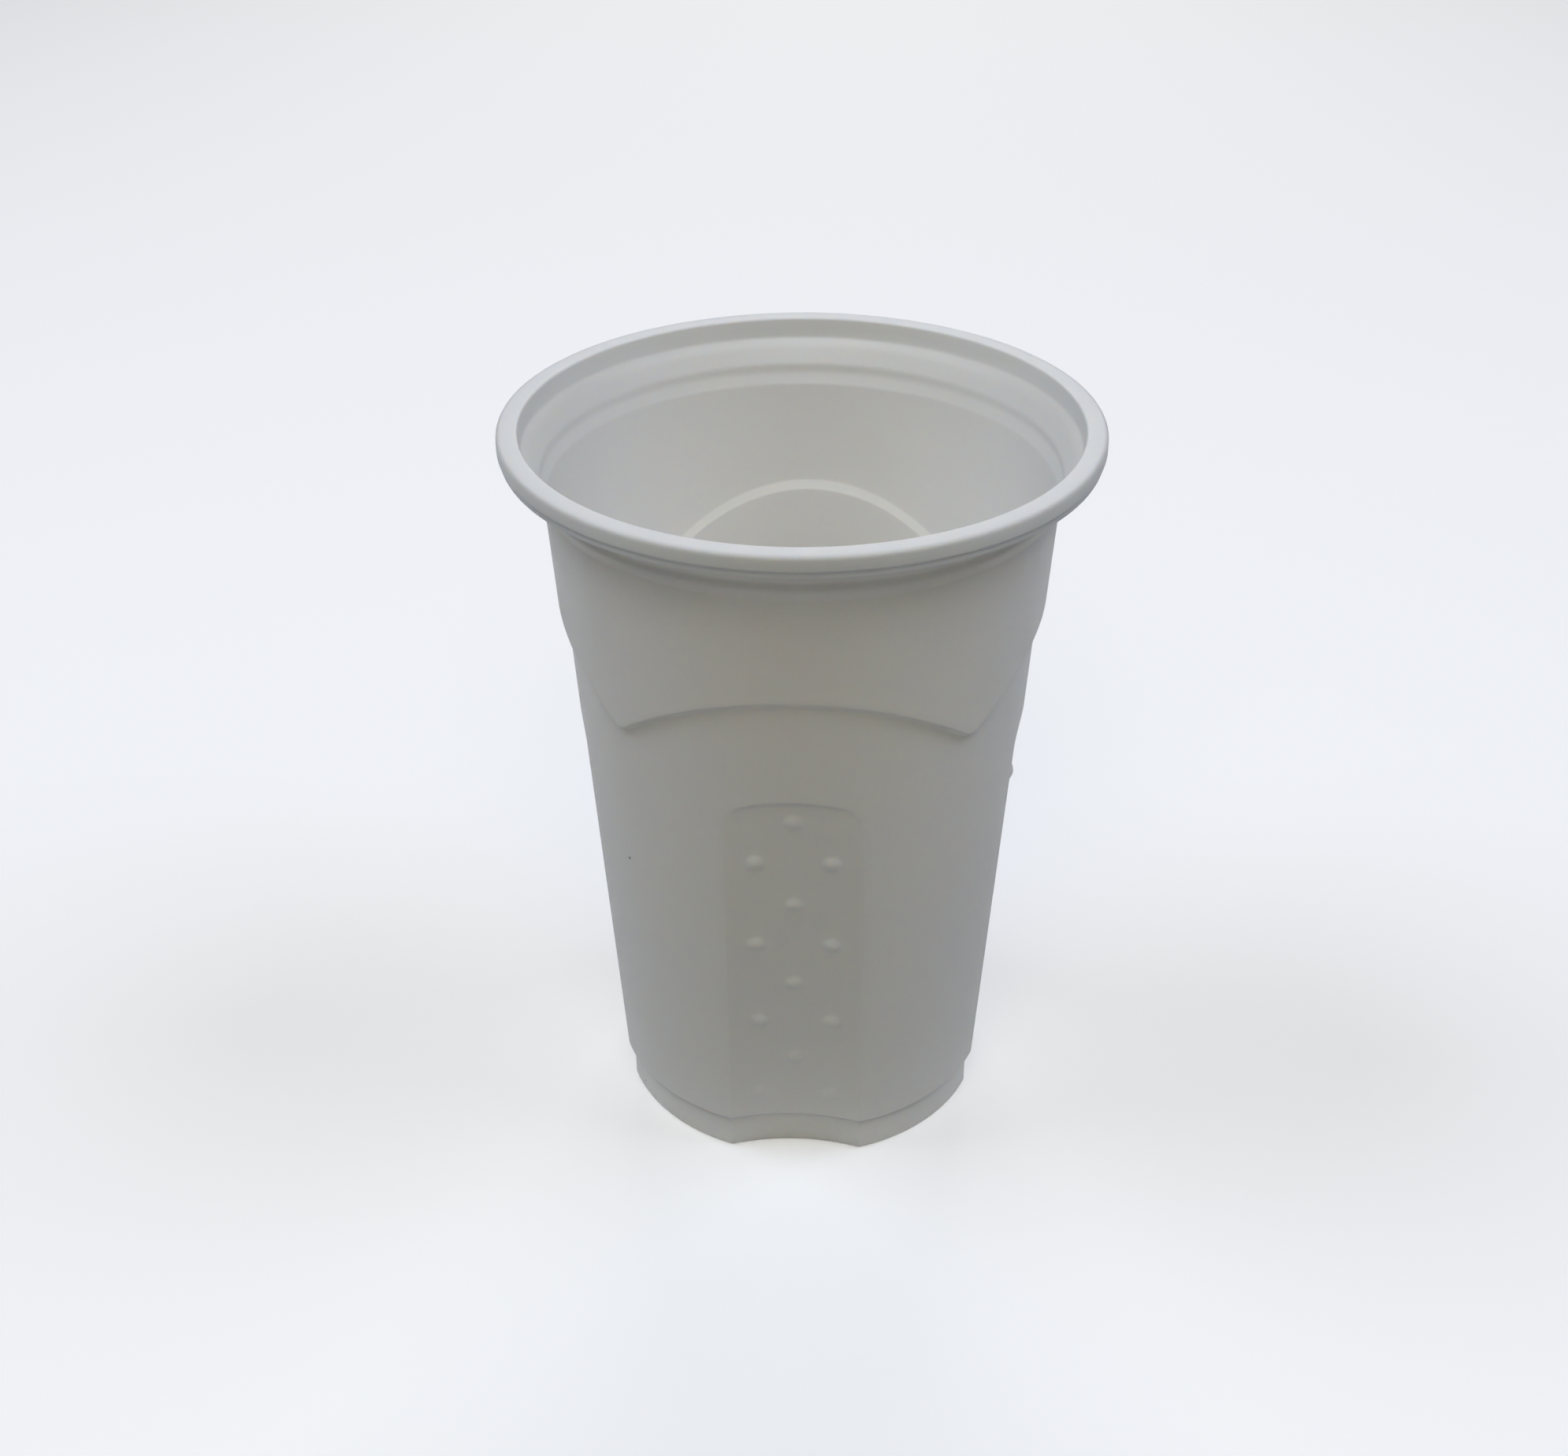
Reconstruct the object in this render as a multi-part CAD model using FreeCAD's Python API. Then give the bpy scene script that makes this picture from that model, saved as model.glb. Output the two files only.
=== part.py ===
import FreeCAD, Part
import math
import os

# Disposable drinking cup, thermoformed from one sheet. It stands on z = 0 with its axis on +Z.
# The wall is a cone with a wider upper zone. A step cut square by slanted faces ends the upper zone, so that
# the step's line rises in an arch over each panel and dips at the corners between them.
# Each of the panels has a recessed tongue with raised dots, which runs down through the foot.
# All sizes are in millimetres and all angles in degrees.

Vector = FreeCAD.Vector
ORIGIN = Vector(0, 0, 0)
UP = Vector(0, 0, 1)

# Overall
cup_height = 100.0
panel_count = 4
wall = 0.5

# Rolled rim
rim_outer_radius = 38.5
rim_width = 2.7
rim_height = 2.2
rim_top_rounding = 0.6
rim_bottom_chamfer = 0.6
rim_sheet = 0.5
rim_slot = 0.35
mouth_radius = rim_outer_radius - rim_width

# Inner line of the neck, from the mouth down: a straight band, a stacking ledge, a slope and a short collar
band_height = 2.7
band_taper = 0.15
ledge_width = 1.05
ledge_drop = 0.7
neck_slope_width = 1.35
neck_slope_height = 2.4
collar_height = 1.1
band_foot_z = cup_height - band_height
band_foot_radius = mouth_radius - band_taper
ledge_z = band_foot_z - ledge_drop
ledge_radius = band_foot_radius - ledge_width
neck_high_z = ledge_z - neck_slope_height
neck_radius = ledge_radius - neck_slope_width
neck_low_z = neck_high_z - collar_height

# Upper zone, measured on the outer face. It starts under the collar, a little further in
upper_draft = 4.0
neck_foot_height = 1.6
neck_foot_width = 0.69
neck_foot_z = neck_low_z - neck_foot_height
upper_top_radius = neck_radius + wall - neck_foot_width

# Scalloped step between the two zones: an inverted pyramid, turned square to the panels, cuts the upper cone
upper_height = 14.4
step_width = 0.98
step_angle = 45.0
step_corner_rounding = 1.6
step_wall = 0.8
step_top_z = neck_foot_z - upper_height

# Lower zone, measured on the outer face
body_draft = 3.75

# Foot band
foot_height = 5.2
foot_step_rise = 0.6
foot_step_width = 0.8
foot_edge_chamfer = 0.5

# Recessed tongue on each panel
tongue_half_width = 8.9
tongue_below_step = 15.6
tongue_top_arc_radius = 18.0
tongue_corner_radius = 4.5
tongue_dip_at_foot = 1.5
tongue_step_at_top = 0.35
tongue_top_z = step_top_z - tongue_below_step

# Raised dots on each tongue: single and paired rows take turns, and each dot has a few flat sides
dot_side_count = 8
dot_radius = 1.2
dot_crown_radius = 0.6
dot_rise = 0.4
dot_row_count = 8
dot_pair_half_gap = 4.9
dots_below_tongue_top = 3.2
dots_above_foot = 5.0

# Floor
floor_ring_width = 6.1
floor_recess_depth = 1.4

# Cutting tools reach this far past the faces that they cut
reach = 6.0
# Points closer than this are one point
same_point = 1e-6


def slope(angle):
    return math.tan(math.radians(angle))


def upper_radius(z):
    """Outer radius of the upper zone's cone."""
    return upper_top_radius + (z - neck_foot_z) * slope(upper_draft)


def body_radius(z):
    """Outer radius of the lower zone's cone."""
    return upper_radius(step_top_z) - step_width + (z - step_top_z) * slope(body_draft)


body_foot_z = foot_height + foot_step_rise
foot_radius = body_radius(body_foot_z) - foot_step_width
floor_recess_radius = foot_radius - floor_ring_width
# the space above the step starts here, below the step's lowest tips
below_step_z = step_top_z - upper_radius(step_top_z) / 2


def rounded_wire(corners, to_point):
    """Closed wire through (a, b, rounding) corners, placed in space by to_point(a, b)."""
    count = len(corners)
    starts = []
    ends = []
    arcs = []
    for index, (a, b, rounding) in enumerate(corners):
        here = Vector(a, b, 0)
        before = Vector(*corners[index - 1][:2], 0)
        after = Vector(*corners[(index + 1) % count][:2], 0)
        if rounding == 0:
            starts.append(here)
            ends.append(here)
            arcs.append(None)
            continue
        to_before = (before - here).normalize()
        to_after = (after - here).normalize()
        half_angle = to_before.getAngle(to_after) / 2
        start = here + to_before * (rounding / math.tan(half_angle))
        end = here + to_after * (rounding / math.tan(half_angle))
        bisector = (to_before + to_after).normalize()
        middle = here + bisector * (rounding / math.sin(half_angle) - rounding)
        starts.append(start)
        ends.append(end)
        arcs.append(middle)
    edges = []
    for index in range(count):
        if arcs[index] is not None:
            points = [to_point(p.x, p.y) for p in (starts[index], arcs[index], ends[index])]
            edges.append(Part.Arc(*points).toShape())
        line_start = to_point(ends[index].x, ends[index].y)
        following = starts[(index + 1) % count]
        line_end = to_point(following.x, following.y)
        if line_start.distanceToPoint(line_end) > same_point:
            edges.append(Part.makeLine(line_start, line_end))
    return Part.Wire(edges)


def turned(corners):
    """Solid of revolution about +Z from (radius, z, rounding) corners."""
    wire = rounded_wire(corners, lambda radius, z: Vector(radius, 0, z))
    return Part.Face(wire).revolve(ORIGIN, UP, 360)


def around(shape):
    """Copies of a shape made for the panel that faces -Y, one for each panel."""
    copies = []
    for index in range(panel_count):
        copy = shape.copy()
        copy.rotate(ORIGIN, UP, index * 360.0 / panel_count)
        copies.append(copy)
    return copies


def step_section(z, raised):
    """Rounded square cut through the step's pyramid at height z, the pyramid being raised by some amount."""
    half = upper_radius(step_top_z) + (z - raised - step_top_z) / slope(step_angle)
    corners = [
        (-half, -half, step_corner_rounding),
        (half, -half, step_corner_rounding),
        (half, half, step_corner_rounding),
        (-half, half, step_corner_rounding),
    ]
    return rounded_wire(corners, lambda x, y: Vector(x, y, z))


def step_pyramid(thickness):
    """Space above the step. Its slanted faces make the step, and lie that thickness above its outer face."""
    raised = thickness / math.cos(math.radians(step_angle))
    high_z = cup_height + 2 * reach
    return Part.makeLoft([step_section(below_step_z, raised), step_section(high_z, raised)], True, True)


def tongue_outline(grown, depth):
    """Solid with the tongue's outline, square to the panel that faces -Y, grown all round."""
    half_width = tongue_half_width + grown
    top_z = tongue_top_z + grown
    top_radius = tongue_top_arc_radius + grown
    corner_radius = tongue_corner_radius + grown
    top_centre_z = top_z - top_radius
    corner_centre_x = half_width - corner_radius
    corner_rise = math.sqrt((top_radius - corner_radius) ** 2 - corner_centre_x ** 2)
    corner_centre_z = top_centre_z + corner_rise
    # the top arc and the corner arc meet on the line through both centres
    lean = math.atan2(corner_centre_x, corner_rise)
    meet_x = top_radius * math.sin(lean)
    meet_z = top_centre_z + top_radius * math.cos(lean)
    turn_angle = (math.pi / 2 + lean) / 2
    mid_x = corner_centre_x + corner_radius * math.sin(turn_angle)
    mid_z = corner_centre_z + corner_radius * math.cos(turn_angle)

    def at(x, z):
        return Vector(x, -depth, z)

    edges = [
        Part.makeLine(at(-half_width, -reach), at(half_width, -reach)),
        Part.makeLine(at(half_width, -reach), at(half_width, corner_centre_z)),
        Part.Arc(at(half_width, corner_centre_z), at(mid_x, mid_z), at(meet_x, meet_z)).toShape(),
        Part.Arc(at(meet_x, meet_z), at(0, top_z), at(-meet_x, meet_z)).toShape(),
        Part.Arc(at(-meet_x, meet_z), at(-mid_x, mid_z), at(-half_width, corner_centre_z)).toShape(),
        Part.makeLine(at(-half_width, corner_centre_z), at(-half_width, -reach)),
    ]
    return Part.Face(Part.Wire(edges)).extrude(Vector(0, depth, 0))


def tongue_edge_distance(z):
    """Distance from the axis, square to the panel, of the chord between the tongue's two edges."""
    return math.sqrt(body_radius(z) ** 2 - tongue_half_width ** 2)


def tongue_dip(z):
    """How far the tongue's middle lies inside that chord: hollow at the foot, domed at the top."""
    top_bulge = body_radius(tongue_top_z) - tongue_edge_distance(tongue_top_z) - tongue_step_at_top
    share = (z - foot_height) / (tongue_top_z - foot_height)
    return tongue_dip_at_foot + share * (-top_bulge - tongue_dip_at_foot)


def tongue_distance(x, z):
    """Distance of the tongue's face from the axis, square to the panel."""
    return tongue_edge_distance(z) - tongue_dip(z) * (1 - (x / tongue_half_width) ** 2)


def tongue_section(z, inset, at_z):
    """Closed section of the space in front of the tongue's face, drawn at height at_z."""
    # wide enough for the outline to trim it on both sides
    half = tongue_half_width + 2 * wall
    face_side = tongue_distance(half, z) - inset
    face_middle = tongue_distance(0, z) - inset
    outside = rim_outer_radius + reach
    left = Vector(-half, -face_side, at_z)
    middle = Vector(0, -face_middle, at_z)
    right = Vector(half, -face_side, at_z)
    far_right = Vector(half, -outside, at_z)
    far_left = Vector(-half, -outside, at_z)
    return Part.Wire([
        Part.Arc(left, middle, right).toShape(),
        Part.makeLine(right, far_right),
        Part.makeLine(far_right, far_left),
        Part.makeLine(far_left, left),
    ])


def tongue_tool(inset):
    """Space in front of the tongue's face on the panel that faces -Y, moved towards the axis by inset."""
    sections = [
        tongue_section(foot_height, inset + foot_step_width, -reach),
        tongue_section(foot_height, inset + foot_step_width, foot_height),
        tongue_section(body_foot_z, inset, body_foot_z),
        tongue_section(tongue_top_z + reach, inset, tongue_top_z + reach),
    ]
    space = Part.makeLoft(sections, True, True)
    return space.common(tongue_outline(inset, rim_outer_radius + 2 * reach))


def dot_outline(x, distance, z, radius):
    """Outline of a dot centred at (x, z) on the panel that faces -Y, at that distance from the axis."""
    corners = []
    for index in range(dot_side_count + 1):
        angle = 2 * math.pi * index / dot_side_count
        corners.append(Vector(x + radius * math.cos(angle), -distance, z + radius * math.sin(angle)))
    return Part.makePolygon(corners)


def dots():
    """Dots on the tongue that faces -Y, each rooted in its wall as deep as it stands out of it."""
    root_radius = 2 * dot_radius - dot_crown_radius
    top_row_z = tongue_top_z - dots_below_tongue_top
    row_pitch = (top_row_z - foot_height - dots_above_foot) / (dot_row_count - 1)
    made = []
    for row in range(dot_row_count):
        z = top_row_z - row * row_pitch
        places = [0.0] if row % 2 == 0 else [-dot_pair_half_gap, dot_pair_half_gap]
        for x in places:
            face = tongue_distance(x, z)
            root = dot_outline(x, face - dot_rise, z, root_radius)
            crown = dot_outline(x, face + dot_rise, z, dot_crown_radius)
            made.append(Part.makeLoft([root, crown], True, True))
    return made


def lower_form(inset, floor_z):
    """Body of the lower zone, shrunk by inset, from floor_z up to inside the upper zone."""
    top_z = step_top_z + reach
    chamfer = foot_edge_chamfer
    corners = [
        (0, floor_z, 0),
        (foot_radius - inset - chamfer, floor_z, 0),
        (foot_radius - inset, floor_z + chamfer, 0),
        (foot_radius - inset, foot_height, 0),
        (body_radius(body_foot_z) - inset, body_foot_z, 0),
        (body_radius(top_z) - inset, top_z, 0),
        (0, top_z, 0),
    ]
    return turned(corners).cut(around(tongue_tool(inset)))


def upper_form(inset, step_thickness, mouth_corners):
    """Body of the upper zone and the neck, shrunk by inset, above the step's slanted faces."""
    outward = wall - inset
    corners = [
        (0, below_step_z, 0),
        (upper_radius(below_step_z) - inset, below_step_z, 0),
        (upper_radius(neck_foot_z) - inset, neck_foot_z, 0),
        (neck_radius + outward, neck_low_z, 0),
        (neck_radius + outward, neck_high_z, 0),
        (ledge_radius + outward, ledge_z - outward, 0),
        (band_foot_radius + outward, band_foot_z - outward, 0),
    ]
    return turned(corners + mouth_corners).common(step_pyramid(step_thickness))


def outer_form():
    """The cup with its rim, filled."""
    rim_bottom_z = cup_height - rim_height
    rim_corners = [
        (mouth_radius + wall, rim_bottom_z, 0),
        (rim_outer_radius - rim_bottom_chamfer, rim_bottom_z, 0),
        (rim_outer_radius, rim_bottom_z + rim_bottom_chamfer, 0),
        (rim_outer_radius, cup_height, rim_top_rounding),
        (0, cup_height, 0),
    ]
    outer = lower_form(0, 0).fuse(upper_form(0, 0, rim_corners))
    outer = outer.fuse([copy for dot in dots() for copy in around(dot)])
    return outer.cut(Part.makeCylinder(floor_recess_radius, floor_recess_depth))


def inner_form():
    """The space that holds the drink."""
    open_corners = [
        (mouth_radius, cup_height, 0),
        (mouth_radius, cup_height + reach, 0),
        (0, cup_height + reach, 0),
    ]
    inner = lower_form(wall, wall).fuse(upper_form(wall, step_wall, open_corners))
    return inner.cut(Part.makeCylinder(floor_recess_radius + wall, floor_recess_depth + wall))


def rim_hollow():
    """Space inside the roll, with the slot that stays open beside the wall."""
    inner = mouth_radius + wall
    outer = rim_outer_radius - rim_sheet
    low_z = cup_height - rim_height + rim_sheet
    high_z = cup_height - rim_sheet
    return turned([
        (inner, low_z - reach, 0),
        (inner + rim_slot, low_z - reach, 0),
        (inner + rim_slot, low_z, 0),
        (outer, low_z, 0),
        (outer, high_z, 0),
        (inner, high_z, 0),
    ])


def make_cup():
    return outer_form().cut(inner_form()).cut(rim_hollow()).removeSplitter()


cup = make_cup()
print("valid", cup.isValid(), "solids", len(cup.Solids), "volume", round(cup.Volume, 1))
print("box", cup.optimalBoundingBox())
os.makedirs("parts", exist_ok=True)
cup.exportStep("parts/cup_body.step")
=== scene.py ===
"""Looks of a thermoformed disposable drinking cup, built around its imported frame.

The cup is one sheet of off-white plastic. Its skin is a run of rings: up the outer face from the foot, round
the rolled rim and down the inner face to the floor. All sizes are in millimetres until the mesh is written in
metres.
"""
import math

import bpy
import numpy as np
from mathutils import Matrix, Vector


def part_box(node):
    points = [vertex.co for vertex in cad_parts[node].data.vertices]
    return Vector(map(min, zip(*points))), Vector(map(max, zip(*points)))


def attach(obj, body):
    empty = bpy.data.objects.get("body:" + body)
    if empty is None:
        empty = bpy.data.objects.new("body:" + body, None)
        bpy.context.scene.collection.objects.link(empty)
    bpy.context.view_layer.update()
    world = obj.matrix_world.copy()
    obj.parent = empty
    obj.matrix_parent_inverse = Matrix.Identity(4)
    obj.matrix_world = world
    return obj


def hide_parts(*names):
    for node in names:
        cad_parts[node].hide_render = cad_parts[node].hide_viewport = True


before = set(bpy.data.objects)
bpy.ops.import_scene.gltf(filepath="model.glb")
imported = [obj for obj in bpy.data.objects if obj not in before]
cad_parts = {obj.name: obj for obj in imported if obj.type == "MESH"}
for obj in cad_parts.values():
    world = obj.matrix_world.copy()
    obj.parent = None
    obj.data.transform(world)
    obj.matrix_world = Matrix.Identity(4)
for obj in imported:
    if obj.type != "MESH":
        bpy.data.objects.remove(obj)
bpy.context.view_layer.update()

MM = 0.001
NODE = "cup_body"
HIGH = [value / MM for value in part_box(NODE)[1]]

# Overall, from the frame
HEIGHT = HIGH[2]
RIM_RADIUS = HIGH[0]
PANELS = 4
WALL = 0.5

# Rolled rim: a hollow roll with a straight skirt, open underneath beside the wall
MOUTH_RADIUS = RIM_RADIUS - 2.7
RIM_HEIGHT = 3.1
RIM_TOP_ROUND = 0.62
RIM_FOOT_ROUND = 0.45
RIM_LIP_HEIGHT = 0.9
RIM_LIP_DEPTH = 0.3
RIM_LIP_ROUND = 0.15
RIM_SHEET = 0.45
RIM_SLOT = 0.35
MOUTH_ROUND = 0.3
ROLL_ROUND = 0.3
ROLL_END_ROUND = 0.12

# Neck, measured on the inner face from the mouth down
BAND_FOOT = (MOUTH_RADIUS - 0.15, HEIGHT - 2.7)
LEDGE = (BAND_FOOT[0] - 1.05, BAND_FOOT[1] - 0.7)
COLLAR_TOP = (LEDGE[0] - 1.35, LEDGE[1] - 2.4)
COLLAR_FOOT = (COLLAR_TOP[0], COLLAR_TOP[1] - 1.1)
BAND_ROUND = 0.3
LEDGE_ROUND = 0.7
NECK_ROUND = 0.4
NECK_FOOT_ROUND = 0.25
# the neck's first points lie this far inside and below its foot, on the upper zone
NECK_LEAD_IN = 0.02
NECK_LEAD_DOWN = 0.3

# Upper zone, measured on the outer face
UPPER_TOP_Z = COLLAR_FOOT[1] - 1.6
UPPER_TOP_RADIUS = COLLAR_TOP[0] + WALL - 0.69
UPPER_DRAFT = math.tan(math.radians(4.0))

# Scalloped step, cut by an inverted pyramid of 45 degrees that is square to the panels
STEP_TOP_Z = UPPER_TOP_Z - 14.4
STEP_WIDTH = 0.98
STEP_CORNER_ROUND = 1.6
STEP_WALL = 0.5

# Lower zone, measured on the outer face
BODY_DRAFT = math.tan(math.radians(3.75))
FOOT_HEIGHT = 5.2
FOOT_STEP_RISE = 0.6
FOOT_STEP_WIDTH = 0.8
FOOT_ROUND = 0.7
BODY_FOOT_Z = FOOT_HEIGHT + FOOT_STEP_RISE

# Recessed tongue on each panel
TONGUE_HALF_WIDTH = 8.9
TONGUE_TOP_Z = STEP_TOP_Z - 15.6
TONGUE_TOP_ARC = 18.0
TONGUE_CORNER_ARC = 4.5
TONGUE_FOOT_DIP = 1.5
TONGUE_TOP_STEP = 0.5
TONGUE_EDGE_BLEND = 0.5
TONGUE_CREASE = 0.03

# Raised dots on each tongue
DOT_RADIUS = 1.25
DOT_RISE = 0.5
DOT_REACH = DOT_RADIUS * 1.1
DOT_ROWS = 8
DOT_PAIR_HALF_GAP = 4.9
DOT_TOP_Z = TONGUE_TOP_Z - 3.2
DOT_FOOT_Z = FOOT_HEIGHT + 5.0

# Floor
FLOOR_RING_WIDTH = 6.1
FLOOR_RISE = 1.4
RECESS_TOP_ROUND = 0.4
RECESS_FOOT_ROUND = 0.35
RECESS_EDGE_WIDTH = 0.9

# Columns of the mesh: those inside this half width run straight up each panel
STRIP_HALF_WIDTH = 10.6
CORNER_ANGLE = math.pi / PANELS
# The lower wall's rings are level up to this height, and above it they bend to follow the step
WALL_TOP_Z = TONGUE_TOP_Z + 1.5
FOOT_RING_HEIGHTS = (1.8, 3.2, 4.5)
FOOT_STEP_START = 4.9
FOOT_STEP_END = BODY_FOOT_Z + 0.6
FOOT_STEP_RINGS = 16
FOOT_STEP_SOFT = 0.06
STEP_EDGE_REACH = 0.16
# shares of the way up to the step and from it to the neck, with the number of rings to each
BELOW_STEP = [(0.8, 5), (0.96, 2)]
ABOVE_STEP = [(0.04, 1), (0.16, 1), (0.9, 7)]
NECK_SPACING = 1.2
FLOOR_SPACING = 4.0
FLOOR_ROUND = 0.6
CENTRE_RADIUS = 3.0
CURVE_STEPS = 4
HALVINGS = 40
SAME_PLACE = 1e-6

# Departures from the true form
UNEVEN_SHARE = 0.0005
UNEVEN_HEIGHT = 0.02
UNEVEN_LOW = 0.35
# waves round the cup: how many, how large and where they start
ROUND_WAVES = ((2, 1.0, 0.6), (5, 0.6, 2.1), (9, 0.3, 4.0))
HEIGHT_WAVES = ((3, 1.0, 1.2), (7, 0.6, 0.0))

# Camera, matched to the photo
IMAGE_SIZE = (1990, 1848)
AIM_PIXEL = (1018.0, 959.9)
LENS = 50.0
SENSOR = 36.0
CAMERA_DISTANCE = 0.30088
CAMERA_RISE = 31.872
CAMERA_TURN = 2.22

# Colours and light
PLASTIC_COOL = (0.915, 0.91, 0.90)
PLASTIC_WARM = (0.93, 0.915, 0.885)
SPECULAR_LEVEL = 0.35
SPECK_COLOUR = (0.16, 0.15, 0.14)
SHEET_SCATTER = 0.0005
SHEET_WEIGHT = 0.7
SHEET_REACH = (1.0, 0.82, 0.62)
PLASTIC_IOR = 1.49
# scales are in cycles per metre
CLOUD_SCALE = 45.0
SATIN_SCALE = 320.0
SATIN_ROUGHNESS = (0.42, 0.54)
GRAIN_SCALE = 2600.0
GRAIN_SHARE = 0.12
RIPPLE_SCALE = 210.0
BUMP_STRENGTH = 0.35
BUMP_DISTANCE = 0.00009
SPECK_SCALE = 95.0
SPECK_CORE = 0.014
SPECK_EDGE = 0.024
SPECK_RARITY = 0.86
FLOOR_SEEN = (0.93, 0.93, 0.93)
FLOOR_GLOW = (0.31, 0.31, 0.31)
# the floor gives back more light near the cup than away from it
FLOOR_BOUNCED_NEAR = (0.75, 0.75, 0.74)
FLOOR_BOUNCED_FAR = (0.38, 0.38, 0.37)
FLOOR_NEAR_REACH = 0.03
FLOOR_FAR_REACH = 0.05
FLOOR_SIZE = 6.0
FLOOR_ROUGHNESS = 0.9
FLOOR_SPECULAR = 0.1
WORLD_SEEN = (0.82, 0.82, 0.82)
WORLD_LIGHT = (0.01, 0.01, 0.01)
# name: place, size, watts and colour
LIGHTS = {
    "high_left_light": ((-0.6, 0.0, 0.8), 0.6, 3.0, (0.79, 0.86, 1.0)),
    "high_right_light": ((0.6, 0.0, 0.8), 0.6, 2.85, (0.76, 0.83, 1.0)),
    "high_front_light": ((0.0, -0.6, 0.8), 0.6, 2.1, (1.0, 0.95, 0.78)),
    "back_light": ((0.0, 0.9, 0.6), 0.6, 2.2, (1.0, 0.97, 0.96)),
}
LIGHTS_AIM = (0.0, 0.0, 0.05)


def upper_radius(z):
    """Outer radius of the upper zone's cone."""
    return UPPER_TOP_RADIUS + (z - UPPER_TOP_Z) * UPPER_DRAFT


def body_radius(z):
    """Outer radius of the lower zone's cone."""
    return upper_radius(STEP_TOP_Z) - STEP_WIDTH + (z - STEP_TOP_Z) * BODY_DRAFT


FOOT_RADIUS = body_radius(BODY_FOOT_Z) - FOOT_STEP_WIDTH
RECESS_RADIUS = FOOT_RADIUS - FLOOR_RING_WIDTH
# columns above this radius keep their angles all the way up
COLUMN_RADIUS = body_radius(WALL_TOP_Z)


def smooth(value):
    """Eases from 0 to 1 as the value goes from 0 to 1."""
    value = np.clip(value, 0.0, 1.0)
    return value * value * (3 - 2 * value)


def soft_positive(value, softness):
    """The value where it is positive and 0 where it isn't, with a small rounding between."""
    return 0.5 * (value + np.sqrt(value * value + softness * softness))


def spaced(stops):
    """Values from (end, steps) stretches that follow each other from 0."""
    values = [0.0]
    for end, steps in stops:
        values.extend(np.linspace(values[-1], end, steps + 1)[1:])
    return values


def panel_columns(strip_stops, corner_stops):
    """Column places on one panel, from -1 to just under 1. The strip ends at half and the corner is at 1."""
    strip = [x / STRIP_HALF_WIDTH / 2 for x in spaced(strip_stops)]
    corner = [0.5 + share / 2 for share in spaced(corner_stops)[1:]]
    half = strip + corner
    return np.array([-u for u in reversed(half[1:])] + half[:-1])


# Columns for the dotted zone, for plain zones and for the zone of the step
DOTTED = panel_columns(
    [(1.35, 5), (3.5, 3), (6.3, 10), (8.4, 6), (9.2, 6), (STRIP_HALF_WIDTH, 2)],
    [(1.0, 8)],
)
PLAIN = panel_columns([(8.4, 6), (9.2, 3), (STRIP_HALF_WIDTH, 1)], [(1.0, 10)])
STEPPED = panel_columns([(STRIP_HALF_WIDTH, 11)], [(0.7, 9), (1.0, 12)])
DIMPLED = panel_columns(
    [(1.35, 2), (3.5, 2), (6.3, 4), (8.4, 2), (9.2, 2), (STRIP_HALF_WIDTH, 1)],
    [(1.0, 8)],
)


def column_angles(columns, reference_radius):
    """Angles off the panel's middle at which the columns lie on a cone of that radius."""
    strip_angle = np.arcsin(STRIP_HALF_WIDTH / reference_radius)
    in_strip = np.arcsin(np.clip(2 * columns, -1, 1) * STRIP_HALF_WIDTH / reference_radius)
    past = np.clip(2 * np.abs(columns) - 1, 0, 1)
    return in_strip + np.sign(columns) * past * (CORNER_ANGLE - strip_angle)


def tongue_distance(x, z):
    """Distance of the tongue's outer face from the axis, square to the panel."""
    edge = np.sqrt(body_radius(z) ** 2 - TONGUE_HALF_WIDTH ** 2)
    edge_at_top = math.sqrt(body_radius(TONGUE_TOP_Z) ** 2 - TONGUE_HALF_WIDTH ** 2)
    top_bulge = body_radius(TONGUE_TOP_Z) - edge_at_top - TONGUE_TOP_STEP
    share = (z - FOOT_HEIGHT) / (TONGUE_TOP_Z - FOOT_HEIGHT)
    dip = TONGUE_FOOT_DIP + share * (-top_bulge - TONGUE_FOOT_DIP)
    return edge - dip * (1 - (x / TONGUE_HALF_WIDTH) ** 2)


def tongue_share(x, z):
    """1 inside the tongue's outline and 0 outside it, with a soft change along its arched top."""
    x = np.abs(x)
    corner_x = TONGUE_HALF_WIDTH - TONGUE_CORNER_ARC
    top_centre_z = TONGUE_TOP_Z - TONGUE_TOP_ARC
    corner_z = top_centre_z + math.sqrt((TONGUE_TOP_ARC - TONGUE_CORNER_ARC) ** 2 - corner_x ** 2)
    meet_x = corner_x * TONGUE_TOP_ARC / (TONGUE_TOP_ARC - TONGUE_CORNER_ARC)
    to_top = TONGUE_TOP_ARC - np.hypot(x, z - top_centre_z)
    to_corner = TONGUE_CORNER_ARC - np.hypot(x - corner_x, np.maximum(z - corner_z, 0))
    inside = smooth(np.where(x < meet_x, to_top, to_corner) / TONGUE_EDGE_BLEND + 0.5)
    # the sides need no soft change, because the two faces meet there
    sides = smooth(1 - (z - corner_z) / TONGUE_CORNER_ARC * 2)
    near = np.abs(x) < TONGUE_HALF_WIDTH + TONGUE_EDGE_BLEND
    return np.where(near, sides + (1 - sides) * inside, 0.0)


def dot_height(x, z):
    """How far the dots stand out of the tongue's face at a place on the panel."""
    height = np.zeros_like(x)
    pitch = (DOT_TOP_Z - DOT_FOOT_Z) / (DOT_ROWS - 1)
    for row in range(DOT_ROWS):
        places = [0.0] if row % 2 == 0 else [-DOT_PAIR_HALF_GAP, DOT_PAIR_HALF_GAP]
        for place in places:
            off = ((x - place) ** 2 + (z - DOT_TOP_Z + row * pitch) ** 2) / DOT_RADIUS ** 2
            height += DOT_RISE * np.clip(1 - off, 0, 1)
    return height


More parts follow.
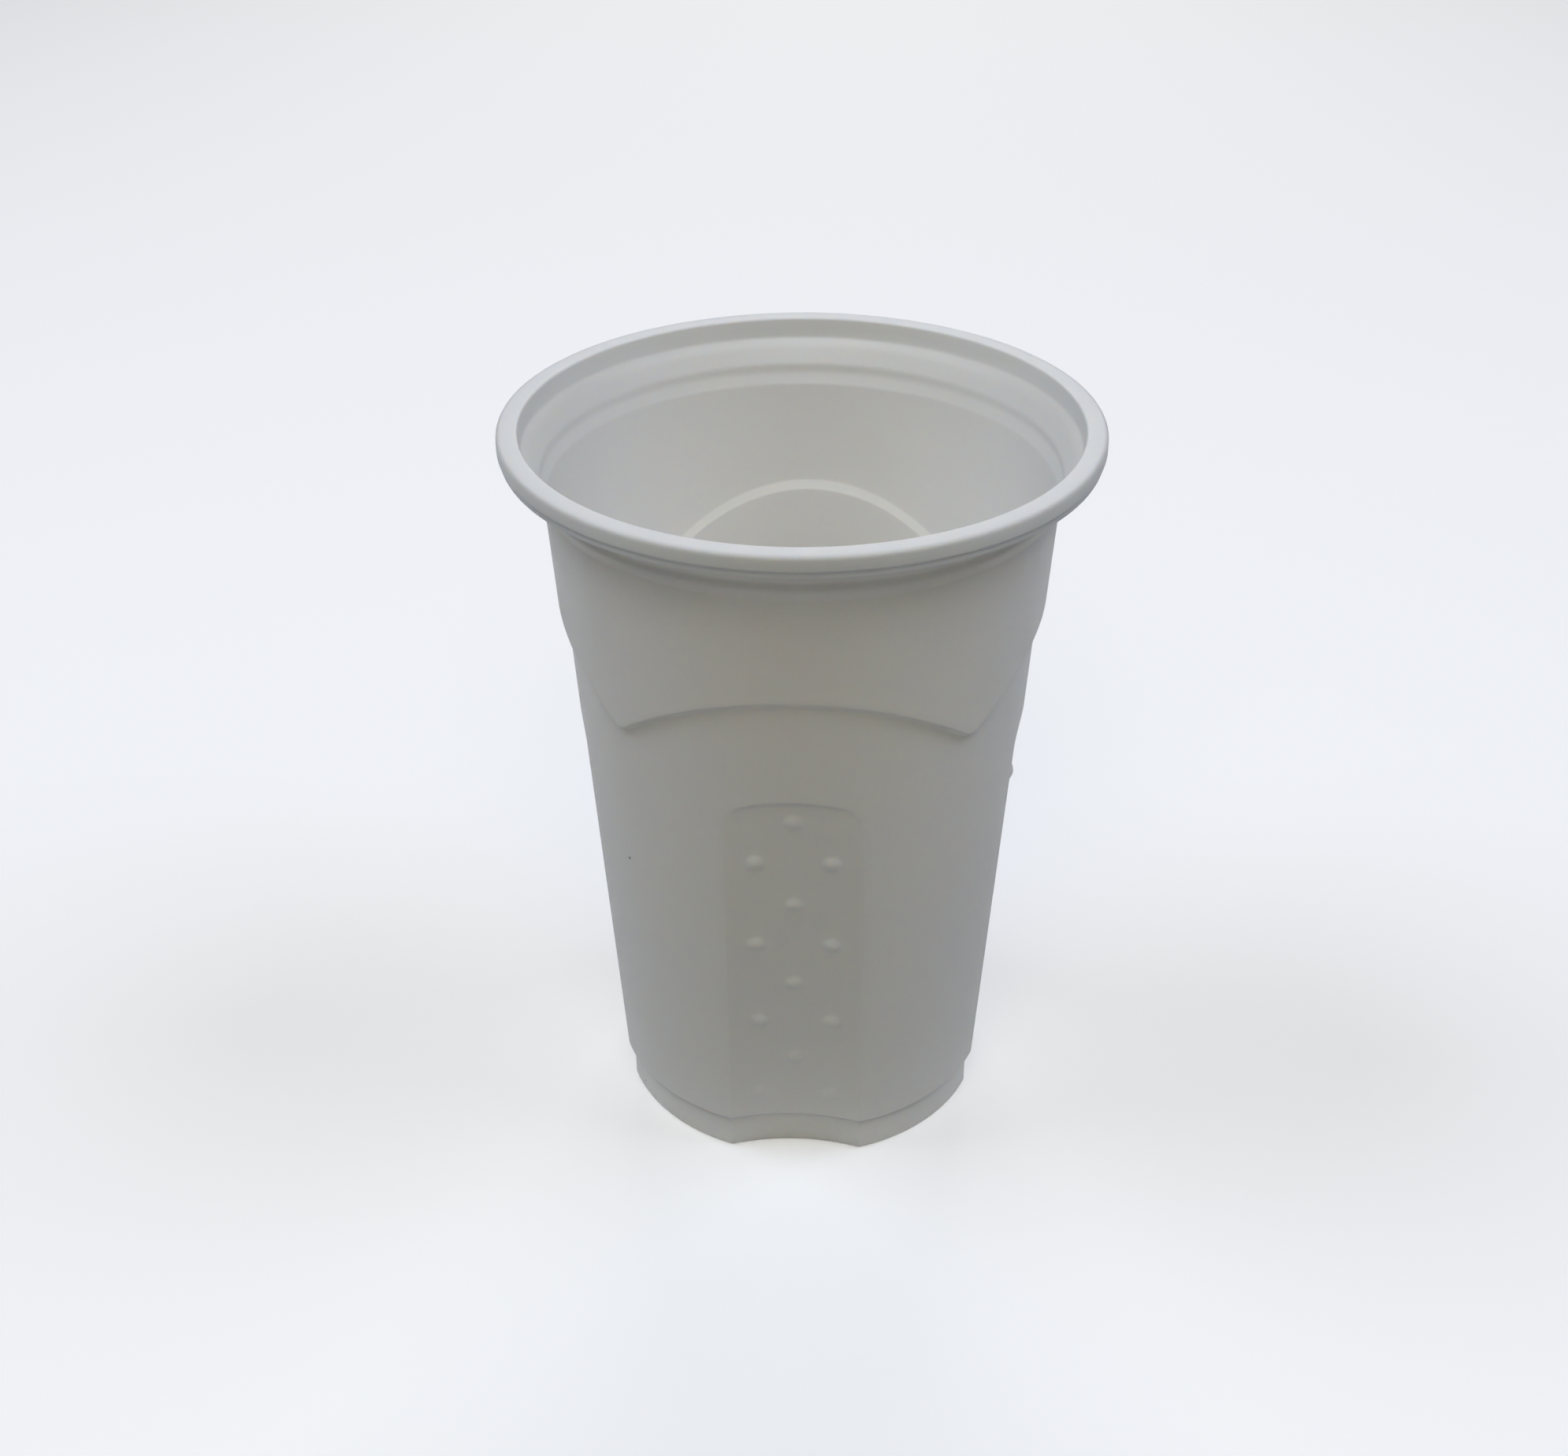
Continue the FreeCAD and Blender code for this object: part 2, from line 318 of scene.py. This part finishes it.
def wall_ring(columns, z, inset, inward=0.0):
    """Ring of the lower wall or the foot at height z, moved in by inset for the inner face."""
    cone = body_radius(max(z, BODY_FOOT_Z)) - inset - inward
    angles = column_angles(columns, cone)
    x = cone * np.sin(angles)
    distance = cone * np.cos(angles)
    tongue = tongue_distance(x, max(z, FOOT_HEIGHT)) - inset - inward
    share = tongue_share(x, z)
    depth = soft_positive(distance - tongue, TONGUE_CREASE) * share
    return panel_ring(columns, x, distance - depth + dot_height(x, z) * share, z)


def turned_ring(columns, radius, z):
    """Ring round the axis. Its radius and height are numbers, or have a value for each column of a panel."""
    angles = column_angles(columns, COLUMN_RADIUS)
    return panel_ring(columns, radius * np.sin(angles), radius * np.cos(angles), z)


def panel_ring(columns, x, distance, z):
    """Places round the cup and points in space of a ring given on one panel, repeated on every panel."""
    places = []
    points = []
    for panel in range(PANELS):
        angle = panel * 2 * math.pi / PANELS
        across = x * math.cos(angle) + distance * math.sin(angle)
        along = x * math.sin(angle) - distance * math.cos(angle)
        places.append(panel + (columns + 1) / 2)
        points.append(np.stack([across, along, z + np.zeros_like(across)], axis=1))
    return np.concatenate(places), np.concatenate(points)


def pyramid_radius(angles, half_side):
    """Radius at which the step's rounded square is met at these angles off a panel's middle."""
    angles = np.abs(angles)
    arc_centre = half_side - STEP_CORNER_ROUND
    on_side = half_side / np.cos(angles)
    to_corner = CORNER_ANGLE - angles
    centre_radius = arc_centre * math.sqrt(2)
    off = np.minimum(centre_radius * np.sin(to_corner), STEP_CORNER_ROUND)
    on_arc = centre_radius * np.cos(to_corner) + np.sqrt(STEP_CORNER_ROUND ** 2 - off ** 2)
    side_ends = np.arctan2(arc_centre, half_side)
    return np.where(angles < side_ends, on_side, on_arc)


def step_line(angles, radius_at, inset, raised):
    """Heights at which a cone of the wall meets the slanted faces of the step, by halving."""
    low = np.full_like(angles, STEP_TOP_Z - upper_radius(STEP_TOP_Z) / 2)
    high = np.full_like(angles, STEP_TOP_Z + 2 * raised + 1)
    for _ in range(HALVINGS):
        middle = (low + high) / 2
        half_side = upper_radius(STEP_TOP_Z) + middle - raised - STEP_TOP_Z
        outside = pyramid_radius(angles, half_side) < radius_at(middle) - inset
        low = np.where(outside, middle, low)
        high = np.where(outside, high, middle)
    return (low + high) / 2


def rounded(before, corner, after, reach, steps):
    """Points of a small curve that rounds a corner. Each point is (radius, height), and may hold columns."""
    def towards(target):
        gap = [target[0] - corner[0], target[1] - corner[1]]
        length = np.hypot(gap[0], gap[1])
        return [corner[0] + gap[0] / length * reach, corner[1] + gap[1] / length * reach]

    start = towards(before)
    end = towards(after)
    curve = []
    for step in range(steps + 1):
        t = step / steps
        curve.append([
            (1 - t) ** 2 * start[axis] + 2 * t * (1 - t) * corner[axis] + t * t * end[axis]
            for axis in (0, 1)
        ])
    return curve


def line_points(corners, spacing):
    """Points along straight stretches with rounded corners. Corners are (radius, height, rounding reach)."""
    points = [list(corners[0][:2])]
    for index in range(1, len(corners)):
        here = corners[index]
        if index + 1 < len(corners) and here[2] > 0:
            curve = rounded(corners[index - 1], here, corners[index + 1], here[2], CURVE_STEPS)
        else:
            curve = [list(here[:2])]
        start = points[-1]
        length = math.dist(start, curve[0])
        steps = max(1, math.ceil(length / spacing))
        for step in range(1, steps):
            share = step / steps
            points.append([start[axis] + share * (curve[0][axis] - start[axis]) for axis in (0, 1)])
        points.extend(curve)
    return points


def foot_inward(z):
    """How far the foot band stands in from the lower wall's foot, with soft ends to its slanted step."""
    share = (z - FOOT_HEIGHT) / FOOT_STEP_RISE
    ramp = soft_positive(share, FOOT_STEP_SOFT) - soft_positive(share - 1, FOOT_STEP_SOFT)
    return FOOT_STEP_WIDTH * (1 - ramp)


def wall_heights(dot_steps, gap_steps, arch_steps):
    """Heights of the lower wall's rings, closer together over each row of dots."""
    pitch = (DOT_TOP_Z - DOT_FOOT_Z) / (DOT_ROWS - 1)
    stops = [(DOT_FOOT_Z - DOT_REACH, gap_steps)]
    for row in range(DOT_ROWS):
        middle = DOT_FOOT_Z + row * pitch
        following = middle + pitch - DOT_REACH if row < DOT_ROWS - 1 else WALL_TOP_Z
        steps = [gap_steps, 2 * gap_steps, arch_steps][max(0, row - DOT_ROWS + 3)]
        stops.extend([(middle + DOT_REACH, dot_steps), (following, steps)])
    heights = [FOOT_STEP_END]
    for end, steps in stops:
        heights.extend(np.linspace(heights[-1], end, steps + 1)[1:])
    return heights


def foot_heights():
    """Heights of the rings from the foot's rounding to the end of its step."""
    step_heights = np.linspace(FOOT_STEP_START, FOOT_STEP_END, FOOT_STEP_RINGS)
    return [FOOT_ROUND, *FOOT_RING_HEIGHTS, *step_heights]


def underside_rings():
    """The recess under the floor, the ring that the cup stands on and the foot's rounding."""
    corners = [
        (CENTRE_RADIUS, FLOOR_RISE, 0),
        (RECESS_RADIUS, FLOOR_RISE, RECESS_TOP_ROUND),
        (RECESS_RADIUS, 0, RECESS_FOOT_ROUND),
        (RECESS_RADIUS + RECESS_EDGE_WIDTH, 0, 0),
    ]
    rings = [turned_ring(PLAIN, radius, z) for radius, z in line_points(corners, FLOOR_SPACING)]
    inward = FOOT_STEP_WIDTH
    for step in range(CURVE_STEPS + 1):
        turn = math.pi / 2 * step / CURVE_STEPS
        z = FOOT_ROUND * (1 - math.cos(turn))
        rings.append(wall_ring(PLAIN, z, 0, inward + FOOT_ROUND * (1 - math.sin(turn))))
    return rings


def lower_rings(columns, inset, dot_steps, gap_steps, arch_steps):
    """The foot band and the lower wall with its tongues and dots, from the bottom up."""
    rings = [wall_ring(PLAIN, z, inset, foot_inward(z)) for z in foot_heights()[1:]]
    rings += [wall_ring(columns, z, inset) for z in wall_heights(dot_steps, gap_steps, arch_steps)[1:]]
    return rings


def step_rings(inset, raised):
    """The top of the lower wall, the step's slanted face and the upper zone up to the neck."""
    angles = column_angles(STEPPED, COLUMN_RADIUS)
    low_z = step_line(angles, body_radius, inset, raised)
    high_z = step_line(angles, upper_radius, inset, raised)
    start = (body_radius(WALL_TOP_Z) - inset, WALL_TOP_Z)
    low = (body_radius(low_z) - inset, low_z)
    high = (upper_radius(high_z) - inset, high_z)
    end = (upper_radius(UPPER_TOP_Z) - inset, UPPER_TOP_Z)
    foot_curve = rounded(start, low, high, STEP_EDGE_REACH, CURVE_STEPS)
    head_curve = rounded(low, high, end, STEP_EDGE_REACH, CURVE_STEPS)
    rings = []
    for share in spaced(BELOW_STEP)[1:]:
        rings.append(between(start, foot_curve[0], share))
    rings += foot_curve + [between(foot_curve[-1], head_curve[0], 0.5)] + head_curve
    for share in spaced(ABOVE_STEP)[1:]:
        rings.append(between(head_curve[-1], end, share))
    return [turned_ring(STEPPED, radius, z) for radius, z in rings]


def between(start, end, share):
    return [start[axis] + share * (end[axis] - start[axis]) for axis in (0, 1)]


def outer_neck_points():
    """The neck's outer face, the hollow inside the roll, the skirt with its lower lip and the rim's top."""
    rim_foot = HEIGHT - RIM_HEIGHT
    wall_radius = MOUTH_RADIUS + WALL
    lip_radius = wall_radius + RIM_SLOT
    inside_radius = RIM_RADIUS - RIM_SHEET
    corners = [
        (upper_radius(UPPER_TOP_Z) - NECK_LEAD_IN, UPPER_TOP_Z - NECK_LEAD_DOWN, 0),
        (upper_radius(UPPER_TOP_Z), UPPER_TOP_Z, NECK_FOOT_ROUND),
        (COLLAR_FOOT[0] + WALL, COLLAR_FOOT[1], NECK_ROUND),
        (COLLAR_TOP[0] + WALL, COLLAR_TOP[1], NECK_ROUND),
        (LEDGE[0] + WALL, LEDGE[1] - WALL, NECK_ROUND),
        (BAND_FOOT[0] + WALL, BAND_FOOT[1] - WALL, BAND_ROUND),
        (wall_radius, HEIGHT - RIM_SHEET, NECK_ROUND),
        (inside_radius, HEIGHT - RIM_SHEET, ROLL_ROUND),
        (inside_radius, rim_foot + RIM_SHEET, ROLL_ROUND),
        (lip_radius, rim_foot + RIM_SHEET, ROLL_END_ROUND),
        (lip_radius, rim_foot, ROLL_END_ROUND),
        (RIM_RADIUS - RIM_LIP_DEPTH, rim_foot, RIM_FOOT_ROUND),
        (RIM_RADIUS - RIM_LIP_DEPTH, rim_foot + RIM_LIP_HEIGHT, RIM_LIP_ROUND),
        (RIM_RADIUS, rim_foot + RIM_LIP_HEIGHT + RIM_LIP_DEPTH, RIM_LIP_ROUND),
        (RIM_RADIUS, HEIGHT, RIM_TOP_ROUND),
        (MOUTH_RADIUS + MOUTH_ROUND * 2, HEIGHT, 0),
    ]
    return line_points(corners, NECK_SPACING)


def inner_neck_points():
    """The mouth's edge and the neck's inner face, from the top down."""
    corners = [
        (MOUTH_RADIUS + MOUTH_ROUND * 2, HEIGHT, 0),
        (MOUTH_RADIUS, HEIGHT, MOUTH_ROUND),
        (*BAND_FOOT, BAND_ROUND),
        (*LEDGE, LEDGE_ROUND),
        (*COLLAR_TOP, NECK_ROUND),
        (*COLLAR_FOOT, NECK_ROUND),
        (upper_radius(UPPER_TOP_Z) - WALL, UPPER_TOP_Z, NECK_FOOT_ROUND),
        (upper_radius(UPPER_TOP_Z) - WALL - NECK_LEAD_IN, UPPER_TOP_Z - NECK_LEAD_DOWN, 0),
    ]
    return line_points(corners, NECK_SPACING)[1:]


def floor_rings():
    """The inner foot's rounding, the gutter round the floor and the raised floor, from the wall inwards."""
    inward = FOOT_STEP_WIDTH
    rings = []
    for step in range(CURVE_STEPS + 1):
        turn = math.pi / 2 * (1 - step / CURVE_STEPS)
        z = WALL + FLOOR_ROUND * (1 - math.cos(turn))
        rings.append(wall_ring(PLAIN, z, WALL, inward + FLOOR_ROUND * (1 - math.sin(turn))))
    corners = [
        (RECESS_RADIUS + WALL + RECESS_EDGE_WIDTH, WALL, 0),
        (RECESS_RADIUS + WALL, WALL, RECESS_FOOT_ROUND),
        (RECESS_RADIUS + WALL, FLOOR_RISE + WALL, RECESS_TOP_ROUND),
        (CENTRE_RADIUS, FLOOR_RISE + WALL, 0),
    ]
    rings += [turned_ring(PLAIN, radius, z) for radius, z in line_points(corners, FLOOR_SPACING)]
    return rings


def cup_rings():
    """All rings of the skin in order, from under the middle of the floor to the middle of its top."""
    raised = STEP_WALL * math.sqrt(2)
    rings = underside_rings()
    rings += lower_rings(DOTTED, 0, 9, 4, 16)
    rings += step_rings(0, 0)
    rings += [turned_ring(PLAIN, radius, z) for radius, z in outer_neck_points()]
    rings += [turned_ring(PLAIN, radius, z) for radius, z in inner_neck_points()]
    rings += reversed(step_rings(WALL, raised))
    rings += reversed(lower_rings(DIMPLED, WALL, 4, 2, 6))
    rings += floor_rings()
    return rings


def faces_between(first, second, first_start, second_start):
    """Faces that join two rings, which may have different columns."""
    faces = []
    count_a = len(first)
    count_b = len(second)
    a = 0
    b = 0
    while a < count_a or b < count_b:
        here_a = first_start + a % count_a
        here_b = second_start + b % count_b
        next_a = first_start + (a + 1) % count_a
        next_b = second_start + (b + 1) % count_b
        place_a = first[a + 1] if a + 1 < count_a else (PANELS if a < count_a else math.inf)
        place_b = second[b + 1] if b + 1 < count_b else (PANELS if b < count_b else math.inf)
        if abs(place_a - place_b) < SAME_PLACE:
            faces.append((here_a, next_a, next_b, here_b))
            a += 1
            b += 1
        elif place_a < place_b:
            faces.append((here_a, next_a, here_b))
            a += 1
        else:
            faces.append((here_a, next_b, here_b))
            b += 1
    return faces


def waves_around(angle, waves):
    """Sum of (count, size, start) waves round the cup, raised so that it is never negative."""
    return sum(size * (1 + np.sin(count * angle + start)) for count, size, start in waves)


def unevenness(points):
    """Very small departures from the true form, as a formed sheet has them. They only move points inwards."""
    angle = np.arctan2(points[:, 1], points[:, 0])
    high = smooth((points[:, 2] - UPPER_TOP_Z) / (HEIGHT - UPPER_TOP_Z))
    round_share = UNEVEN_SHARE * waves_around(angle, ROUND_WAVES) * (UNEVEN_LOW + (1 - UNEVEN_LOW) * high)
    points[:, :2] *= (1 - round_share)[:, None]
    points[:, 2] -= UNEVEN_HEIGHT * high * waves_around(angle, HEIGHT_WAVES)
    return points


def cup_mesh():
    """The cup's skin as a mesh, in metres."""
    rings = cup_rings()
    points = []
    faces = []
    starts = []
    count = 0
    for places, ring_points in rings:
        starts.append(count)
        points.append(ring_points)
        count += len(places)
    for index in range(len(rings) - 1):
        first = rings[index][0]
        second = rings[index + 1][0]
        faces += faces_between(first, second, starts[index], starts[index + 1])
    # the two middles of the floor
    for index, z, turned_over in ((0, FLOOR_RISE, False), (len(rings) - 1, FLOOR_RISE + WALL, True)):
        centre = count
        points.append(np.array([[0.0, 0.0, z]]))
        count += 1
        size = len(rings[index][0])
        for place in range(size):
            here = starts[index] + place
            following = starts[index] + (place + 1) % size
            faces.append((here, following, centre) if turned_over else (following, here, centre))
    points = unevenness(np.concatenate(points)) * MM
    mesh = bpy.data.meshes.new("cup_skin")
    mesh.from_pydata(points.tolist(), [], faces)
    mesh.shade_smooth()
    mesh.validate()
    return mesh


def node(tree, kind, inputs=None, **settings):
    """A shader node with its settings and its unlinked input values."""
    made = tree.nodes.new(kind)
    for name, value in settings.items():
        setattr(made, name, value)
    for name, value in (inputs or {}).items():
        made.inputs[name].default_value = value
    return made


def noise(tree, coords, scale, detail, roughness=0.5):
    """Noise of a scale in cycles per metre over the object's own coordinates."""
    made = node(tree, "ShaderNodeTexNoise", {"Scale": scale, "Detail": detail, "Roughness": roughness})
    tree.links.new(coords, made.inputs["Vector"])
    return made.outputs["Fac"]


def mapped(tree, value, low, high, to_low, to_high):
    """The value taken from one range to another, and held at its ends."""
    made = node(tree, "ShaderNodeMapRange", {
        "From Min": low, "From Max": high, "To Min": to_low, "To Max": to_high})
    tree.links.new(value, made.inputs["Value"])
    return made.outputs["Result"]


def mixed_colour(tree, share, first, second):
    """Colour between two others, either of which may be a colour or a socket."""
    made = node(tree, "ShaderNodeMix", data_type="RGBA")
    tree.links.new(share, made.inputs["Factor"])
    for name, value in (("A", first), ("B", second)):
        socket = next(s for s in made.inputs if s.name == name and s.type == "RGBA")
        if isinstance(value, tuple):
            socket.default_value = (*value, 1.0)
        else:
            tree.links.new(value, socket)
    return next(s for s in made.outputs if s.type == "RGBA")


def calculated(tree, operation, first, second):
    """Result of a sum on two values, either of which may be a number or a socket."""
    made = node(tree, "ShaderNodeMath", operation=operation)
    for index, value in enumerate((first, second)):
        if isinstance(value, (int, float)):
            made.inputs[index].default_value = value
        else:
            tree.links.new(value, made.inputs[index])
    return made.outputs[0]


def plastic_material():
    """Satin off-white sheet that lets a little light through, with grain, faint clouds and rare specks."""
    material = bpy.data.materials.new("cup_plastic")
    material.use_nodes = True
    tree = material.node_tree
    shader = tree.nodes["Principled BSDF"]
    coords = node(tree, "ShaderNodeTexCoord").outputs["Object"]

    clouds = noise(tree, coords, CLOUD_SCALE, 3.0)
    colour = mixed_colour(tree, mapped(tree, clouds, 0.3, 0.7, 0, 1), PLASTIC_COOL, PLASTIC_WARM)
    speck_cells = node(tree, "ShaderNodeTexVoronoi", {"Scale": SPECK_SCALE, "Randomness": 1.0})
    tree.links.new(coords, speck_cells.inputs["Vector"])
    speck_near = mapped(tree, speck_cells.outputs["Distance"], SPECK_CORE, SPECK_EDGE, 1, 0)
    cell_value = node(tree, "ShaderNodeSeparateColor")
    tree.links.new(speck_cells.outputs["Color"], cell_value.inputs["Color"])
    speck_rare = calculated(tree, "GREATER_THAN", cell_value.outputs["Red"], SPECK_RARITY)
    specks = calculated(tree, "MULTIPLY", speck_near, speck_rare)
    colour = mixed_colour(tree, specks, colour, SPECK_COLOUR)
    tree.links.new(colour, shader.inputs["Base Color"])

    satin = noise(tree, coords, SATIN_SCALE, 4.0)
    tree.links.new(mapped(tree, satin, 0.3, 0.7, *SATIN_ROUGHNESS), shader.inputs["Roughness"])

    grain = noise(tree, coords, GRAIN_SCALE, 2.0, 0.6)
    ripples = noise(tree, coords, RIPPLE_SCALE, 2.0)
    relief = calculated(tree, "ADD", calculated(tree, "MULTIPLY", grain, GRAIN_SHARE), ripples)
    bump = node(tree, "ShaderNodeBump", {"Strength": BUMP_STRENGTH, "Distance": BUMP_DISTANCE})
    tree.links.new(relief, bump.inputs["Height"])
    tree.links.new(bump.outputs["Normal"], shader.inputs["Normal"])

    shader.subsurface_method = "RANDOM_WALK"
    shader.inputs["Subsurface Weight"].default_value = SHEET_WEIGHT
    shader.inputs["Subsurface Radius"].default_value = SHEET_REACH
    shader.inputs["Subsurface Scale"].default_value = SHEET_SCATTER
    shader.inputs["IOR"].default_value = PLASTIC_IOR
    shader.inputs["Specular IOR Level"].default_value = SPECULAR_LEVEL
    return material


def floor_material():
    """Matte pale surface that shows one colour to the camera and gives another back as light."""
    material = bpy.data.materials.new("floor_matte")
    material.use_nodes = True
    tree = material.node_tree
    shader = tree.nodes["Principled BSDF"]
    path = node(tree, "ShaderNodeLightPath")
    share = calculated(tree, "MAXIMUM", path.outputs["Is Camera Ray"], path.outputs["Is Glossy Ray"])
    share = calculated(tree, "MAXIMUM", share, path.outputs["Is Transmission Ray"])
    distance = node(tree, "ShaderNodeVectorMath", operation="LENGTH")
    tree.links.new(node(tree, "ShaderNodeTexCoord").outputs["Object"], distance.inputs["Vector"])
    away = mapped(tree, distance.outputs["Value"], FLOOR_NEAR_REACH, FLOOR_FAR_REACH, 0, 1)
    bounced = mixed_colour(tree, away, FLOOR_BOUNCED_NEAR, FLOOR_BOUNCED_FAR)
    tree.links.new(mixed_colour(tree, share, bounced, FLOOR_SEEN), shader.inputs["Base Color"])
    tree.links.new(mixed_colour(tree, share, (0.0, 0.0, 0.0), FLOOR_GLOW), shader.inputs["Emission Color"])
    shader.inputs["Emission Strength"].default_value = 1.0
    shader.inputs["Roughness"].default_value = FLOOR_ROUGHNESS
    shader.inputs["Specular IOR Level"].default_value = FLOOR_SPECULAR
    return material


def add_cup():
    cup = bpy.data.objects.new("cup_skin", cup_mesh())
    bpy.context.scene.collection.objects.link(cup)
    cup.data.materials.append(plastic_material())
    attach(cup, "root")
    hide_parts(NODE)
    return cup


def add_floor():
    mesh = bpy.data.meshes.new("floor")
    half = FLOOR_SIZE / 2
    corners = [(-half, -half, 0), (half, -half, 0), (half, half, 0), (-half, half, 0)]
    mesh.from_pydata(corners, [], [(0, 1, 2, 3)])
    floor = bpy.data.objects.new("floor", mesh)
    bpy.context.scene.collection.objects.link(floor)
    floor.data.materials.append(floor_material())


def add_area_light(name, place, size, watts, colour):
    light = bpy.data.lights.new(name, "AREA")
    light.shape = "DISK"
    light.size = size
    light.energy = watts
    light.color = colour
    holder = bpy.data.objects.new(name, light)
    bpy.context.scene.collection.objects.link(holder)
    holder.location = place
    holder.rotation_euler = (Vector(LIGHTS_AIM) - Vector(place)).to_track_quat("-Z", "Y").to_euler()


def add_world():
    world = bpy.data.worlds.new("studio")
    bpy.context.scene.world = world
    world.use_nodes = True
    tree = world.node_tree
    background = tree.nodes["Background"]
    path = node(tree, "ShaderNodeLightPath")
    tree.links.new(mixed_colour(tree, path.outputs["Is Camera Ray"], WORLD_LIGHT, WORLD_SEEN),
                   background.inputs["Color"])


def add_camera():
    """Camera matched to the photo: the cup's middle shows a little right of and below its centre."""
    data = bpy.data.cameras.new("camera")
    camera = bpy.data.objects.new("camera", data)
    bpy.context.scene.collection.objects.link(camera)
    data.lens = LENS
    data.sensor_width = SENSOR
    data.shift_x = (IMAGE_SIZE[0] / 2 - AIM_PIXEL[0]) / IMAGE_SIZE[0]
    data.shift_y = (AIM_PIXEL[1] - IMAGE_SIZE[1] / 2) / IMAGE_SIZE[0]
    aim = Vector((0, 0, HEIGHT / 2 * MM))
    rise = math.radians(CAMERA_RISE)
    turn = math.radians(CAMERA_TURN)
    away = Vector((math.cos(rise) * math.sin(turn), -math.cos(rise) * math.cos(turn), math.sin(rise)))
    camera.location = aim + away * CAMERA_DISTANCE
    camera.rotation_euler = (-away).to_track_quat("-Z", "Y").to_euler()
    bpy.context.scene.camera = camera


add_cup()
add_floor()
add_world()
for light_name, settings in LIGHTS.items():
    add_area_light(light_name, *settings)
add_camera()
bpy.context.scene.view_settings.view_transform = "Standard"
